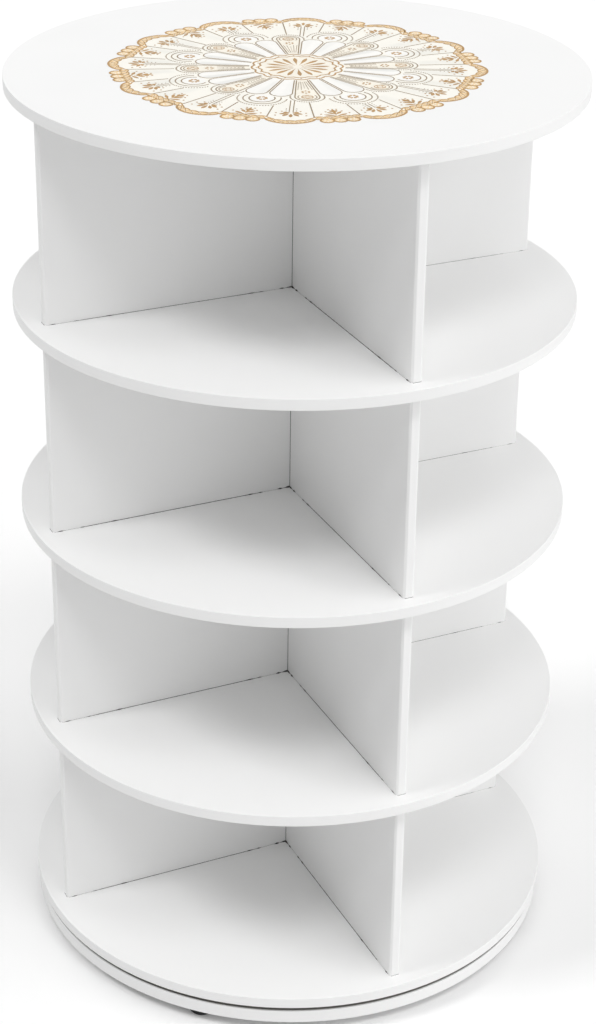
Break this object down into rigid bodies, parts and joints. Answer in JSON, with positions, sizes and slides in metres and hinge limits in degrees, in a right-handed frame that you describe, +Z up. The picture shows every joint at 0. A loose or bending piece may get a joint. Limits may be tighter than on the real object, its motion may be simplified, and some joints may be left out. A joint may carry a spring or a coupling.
{
  "type": "rotating shoe tower",
  "caption": "Round shelf tower for shoes: tiers split by crossed upright boards, turning without limit on a ball-bearing turntable above a fixed base with rubber feet.",
  "frame": {"origin": "on the floor under the turning axis, at the bottom centre of the whole tower", "axes": "+Z up along the turning axis; at rest the long dividers lie along X and the short ones along Y, the front ones towards -Y"},
  "size_m": [0.5999, 0.6, 1.0002],
  "materials": {
    "white_board": "white satin lacquer on fibreboard, round boards",
    "white_divider": "white satin lacquer on fibreboard, upright boards",
    "black_rubber": "matt moulded rubber",
    "zinc_plate": "zinc-plated pressed sheet",
    "zinc_fasteners": "zinc-plated screws and rivet",
    "ball_steel": "polished bearing steel",
    "cage_nylon": "natural nylon",
    "tenon_beech": "plain beech",
    "lace_print": "thin printed film, gold lace on white"
  },
  "bodies": {
    "base": {"base_board": "white_board", "rear_right_foot": "black_rubber", "rear_left_foot": "black_rubber", "front_left_foot": "black_rubber", "front_right_foot": "black_rubber", "lower_plate": "zinc_plate", "lower_plate_screws": "zinc_fasteners", "pivot_rivet": "zinc_fasteners"},
    "ball_ring": {"bearing_balls": "ball_steel", "ball_cage": "cage_nylon"},
    "tower": {"bottom_board": "white_board", "lower_shelf": "white_board", "middle_shelf": "white_board", "upper_shelf": "white_board", "top_board": "white_board", "upper_plate": "zinc_plate", "upper_plate_screws": "zinc_fasteners", "top_print": "lace_print", "bottom_tier_long_divider": "white_divider", "bottom_tier_front_divider": "white_divider", "bottom_tier_rear_divider": "white_divider", "bottom_tier_centre_tenons": "tenon_beech", "lower_tier_long_divider": "white_divider", "lower_tier_front_divider": "white_divider", "lower_tier_rear_divider": "white_divider", "lower_tier_centre_tenons": "tenon_beech", "upper_tier_long_divider": "white_divider", "upper_tier_front_divider": "white_divider", "upper_tier_rear_divider": "white_divider", "upper_tier_centre_tenons": "tenon_beech", "top_tier_long_divider": "white_divider", "top_tier_front_divider": "white_divider", "top_tier_rear_divider": "white_divider", "top_tier_centre_tenons": "tenon_beech", "bottom_board_tenons": "tenon_beech", "lower_shelf_tenons": "tenon_beech", "middle_shelf_tenons": "tenon_beech", "upper_shelf_tenons": "tenon_beech", "top_board_tenons": "tenon_beech"}
  },
  "joints": [
    {"name": "turntable_spin", "type": "hinge", "parent": "base", "child": "tower", "pos_m": [0, 0, 0.033], "axis": [0, 0, 1], "continuous": true},
    {"name": "ball_ring_spin", "type": "hinge", "parent": "base", "child": "ball_ring", "pos_m": [0, 0, 0.033], "axis": [0, 0, 1], "continuous": true}
  ],
  "couplings": [
    {"joint": "ball_ring_spin", "follows": "turntable_spin", "ratio": 0.5}
  ]
}
